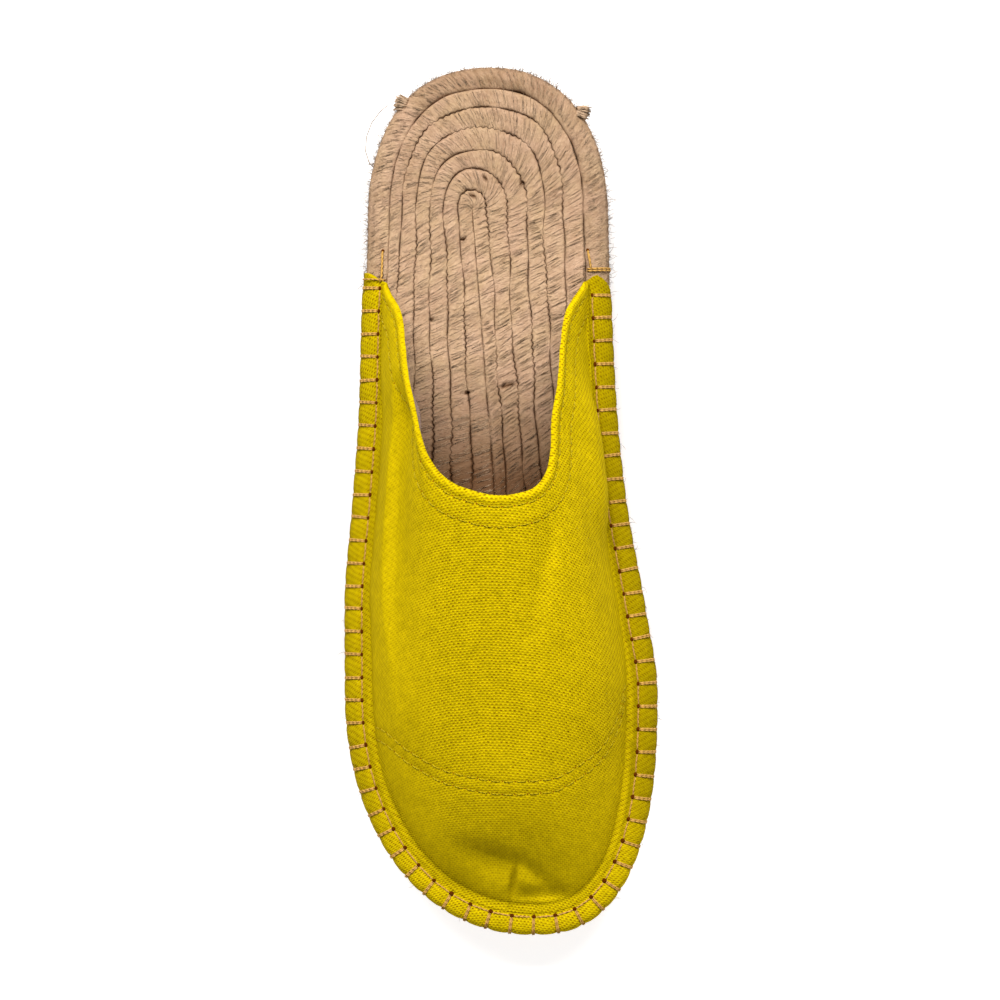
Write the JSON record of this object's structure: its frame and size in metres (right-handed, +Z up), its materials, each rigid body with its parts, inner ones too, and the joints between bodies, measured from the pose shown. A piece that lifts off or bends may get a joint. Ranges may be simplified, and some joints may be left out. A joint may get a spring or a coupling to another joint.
{
  "type": "espadrille mule",
  "caption": "Backless canvas slip-on shoe for the right foot on a flat wound jute sole, with an out-turned hem sewn to the sole's edge braid.",
  "frame": {"origin": "middle of the shoe's box, on the floor it stands on", "axes": "+Z up, +Y from toe to heel, +X to the inner (big-toe) side of the right foot"},
  "size_m": [0.102, 0.28, 0.07],
  "materials": {
    "wound_jute": "matt natural jute cord, wound flat",
    "jute_braid": "matt natural jute plait",
    "canvas": "matt plain-weave cotton canvas, mustard yellow outside, beige lining"
  },
  "bodies": {
    "root": {"sole_core": "wound_jute", "edge_braid": "jute_braid", "upper": "canvas"}
  },
  "joints": []
}
